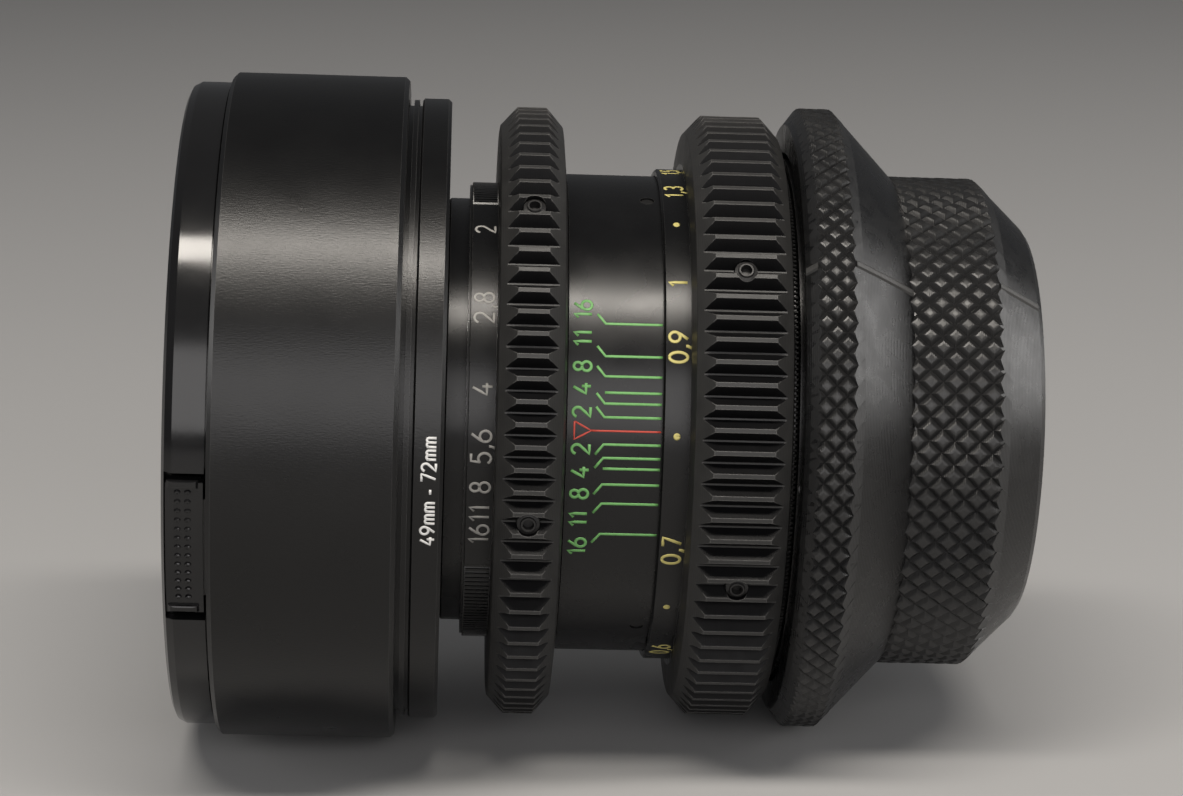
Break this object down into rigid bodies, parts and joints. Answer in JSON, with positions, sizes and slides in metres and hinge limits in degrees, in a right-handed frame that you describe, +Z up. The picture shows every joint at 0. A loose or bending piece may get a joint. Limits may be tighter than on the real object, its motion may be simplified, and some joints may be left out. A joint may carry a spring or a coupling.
{
  "type": "cinema prime lens",
  "caption": "Manual prime camera lens with toothed focus and aperture rings, a preset ring, a wide front clamp ring, a pinch front cap and a knurled rear cap.",
  "frame": {"origin": "centre of the bayonet mount's flange face, on the optical axis", "axes": "+X along the optical axis to the camera, so the front of the lens faces -X; +Z up as the lens lies on its side; -Y faces the viewer"},
  "size_m": [0.1008, 0.08, 0.08],
  "materials": {
    "anodised_black": "satin black anodised, fine grain",
    "barrel_black": "semi-gloss black enamel on turned metal",
    "printed_black": "printed plastic with fine layer lines",
    "cap_black": "glossy moulded",
    "brass": "turned and greased",
    "bare_aluminium": "turned",
    "steel": "plain",
    "black_steel": "blackened",
    "blade_black": "matt blackened spring steel",
    "mount_chrome": "bright plated",
    "optical_glass": "polished and coated"
  },
  "bodies": {
    "base": {"base_barrel": "barrel_black", "rear_plate": "bare_aluminium", "rear_plate_screws": "steel", "guide_keys": "steel", "guide_key_screws": "steel", "mount_adapter": "mount_chrome", "adapter_screws": "steel"},
    "focus": {"focus_ring": "barrel_black", "focus_ring_screws": "steel", "focus_helicoid": "brass", "helicoid_retainer": "brass", "focus_gear": "printed_black", "focus_gear_screws": "black_steel"},
    "carriage": {"core_barrel": "bare_aluminium", "core_screws": "steel", "helicoid_barrel": "bare_aluminium", "scale_barrel": "barrel_black", "scale_barrel_screws": "black_steel", "front_rim": "barrel_black", "step_up_ring": "anodised_black", "front_ring": "anodised_black", "front_cell": "barrel_black", "front_retainer": "barrel_black", "doublet_retainer": "barrel_black", "rear_cell": "barrel_black", "rear_cell_screws": "steel", "rear_retainer": "barrel_black", "lens_1": "optical_glass", "lens_2": "optical_glass", "lens_3": "optical_glass", "lens_4": "optical_glass", "lens_5": "optical_glass", "lens_6": "optical_glass", "iris_seat": "barrel_black", "iris_seat_screws": "steel"},
    "aperture": {"aperture_ring": "barrel_black", "aperture_gear": "printed_black", "aperture_gear_screws": "black_steel", "iris_cam": "bare_aluminium", "drive_pin": "steel"},
    "preset": {"preset_ring": "barrel_black"},
    "blade_1": {"iris_blade_1": "blade_black"},
    "blade_2": {"iris_blade_2": "blade_black"},
    "blade_3": {"iris_blade_3": "blade_black"},
    "blade_4": {"iris_blade_4": "blade_black"},
    "blade_5": {"iris_blade_5": "blade_black"},
    "blade_6": {"iris_blade_6": "blade_black"},
    "blade_7": {"iris_blade_7": "blade_black"},
    "blade_8": {"iris_blade_8": "blade_black"},
    "front_cap_body": {"front_cap": "cap_black", "front_cap_back": "cap_black"},
    "tab_near": {"pinch_tab_near": "cap_black"},
    "tab_far": {"pinch_tab_far": "cap_black"},
    "rear_cap_body": {"rear_cap": "printed_black"}
  },
  "joints": [
    {"name": "focus_turn", "type": "hinge", "parent": "base", "child": "focus", "pos_m": [-0.01, 0, 0], "axis": [-1, 0, 0], "range_deg": [-155.9, 126.6]},
    {"name": "focus_travel", "type": "slide", "parent": "base", "child": "carriage", "axis": [-1, 0, 0], "range_m": [-0.00495, 0.00402]},
    {"name": "aperture_turn", "type": "hinge", "parent": "carriage", "child": "aperture", "pos_m": [-0.034, 0, 0], "axis": [-1, 0, 0], "range_deg": [-54.1, 27.8]},
    {"name": "preset_turn", "type": "hinge", "parent": "carriage", "child": "preset", "pos_m": [-0.0394, 0, 0], "axis": [-1, 0, 0], "range_deg": [-54.1, 27.8]},
    {"name": "blade_1_swing", "type": "hinge", "parent": "carriage", "child": "blade_1", "pos_m": [-0.02035, -0.00435, -0.01747], "axis": [1, 0, 0], "range_deg": [-21.9, 11.3]},
    {"name": "blade_2_swing", "type": "hinge", "parent": "carriage", "child": "blade_2", "pos_m": [-0.0201, 0.00927, -0.01543], "axis": [1, 0, 0], "range_deg": [-21.9, 11.3]},
    {"name": "blade_3_swing", "type": "hinge", "parent": "carriage", "child": "blade_3", "pos_m": [-0.01985, 0.01747, -0.00435], "axis": [1, 0, 0], "range_deg": [-21.9, 11.3]},
    {"name": "blade_4_swing", "type": "hinge", "parent": "carriage", "child": "blade_4", "pos_m": [-0.0196, 0.01543, 0.00927], "axis": [1, 0, 0], "range_deg": [-21.9, 11.3]},
    {"name": "blade_5_swing", "type": "hinge", "parent": "carriage", "child": "blade_5", "pos_m": [-0.01935, 0.00435, 0.01747], "axis": [1, 0, 0], "range_deg": [-21.9, 11.3]},
    {"name": "blade_6_swing", "type": "hinge", "parent": "carriage", "child": "blade_6", "pos_m": [-0.0191, -0.00927, 0.01543], "axis": [1, 0, 0], "range_deg": [-21.9, 11.3]},
    {"name": "blade_7_swing", "type": "hinge", "parent": "carriage", "child": "blade_7", "pos_m": [-0.01885, -0.01747, 0.00435], "axis": [1, 0, 0], "range_deg": [-21.9, 11.3]},
    {"name": "blade_8_swing", "type": "hinge", "parent": "carriage", "child": "blade_8", "pos_m": [-0.0186, -0.01543, -0.00927], "axis": [1, 0, 0], "range_deg": [-21.9, 11.3]},
    {"name": "front_cap_off", "type": "slide", "parent": "carriage", "child": "front_cap_body", "axis": [-1, 0, 0], "range_m": [0, 0.03]},
    {"name": "pinch_near", "type": "slide", "parent": "front_cap_body", "child": "tab_near", "axis": [0, 0.9799, 0.1994], "range_m": [0, 0.0025], "stiffness_N_per_m": 400, "springref_m": -0.002},
    {"name": "pinch_far", "type": "slide", "parent": "front_cap_body", "child": "tab_far", "axis": [0, -0.9799, -0.1994], "range_m": [0, 0.0025], "stiffness_N_per_m": 400, "springref_m": -0.002},
    {"name": "rear_cap_off", "type": "slide", "parent": "base", "child": "rear_cap_body", "axis": [1, 0, 0], "range_m": [0, 0.035]}
  ],
  "couplings": [
    {"joint": "focus_travel", "follows": "focus_turn", "m_per_rad": 0.0018189},
    {"joint": "blade_1_swing", "follows": "aperture_turn", "ratio": 0.40396},
    {"joint": "blade_2_swing", "follows": "aperture_turn", "ratio": 0.40396},
    {"joint": "blade_3_swing", "follows": "aperture_turn", "ratio": 0.40396},
    {"joint": "blade_4_swing", "follows": "aperture_turn", "ratio": 0.40396},
    {"joint": "blade_5_swing", "follows": "aperture_turn", "ratio": 0.40396},
    {"joint": "blade_6_swing", "follows": "aperture_turn", "ratio": 0.40396},
    {"joint": "blade_7_swing", "follows": "aperture_turn", "ratio": 0.40396},
    {"joint": "blade_8_swing", "follows": "aperture_turn", "ratio": 0.40396}
  ]
}
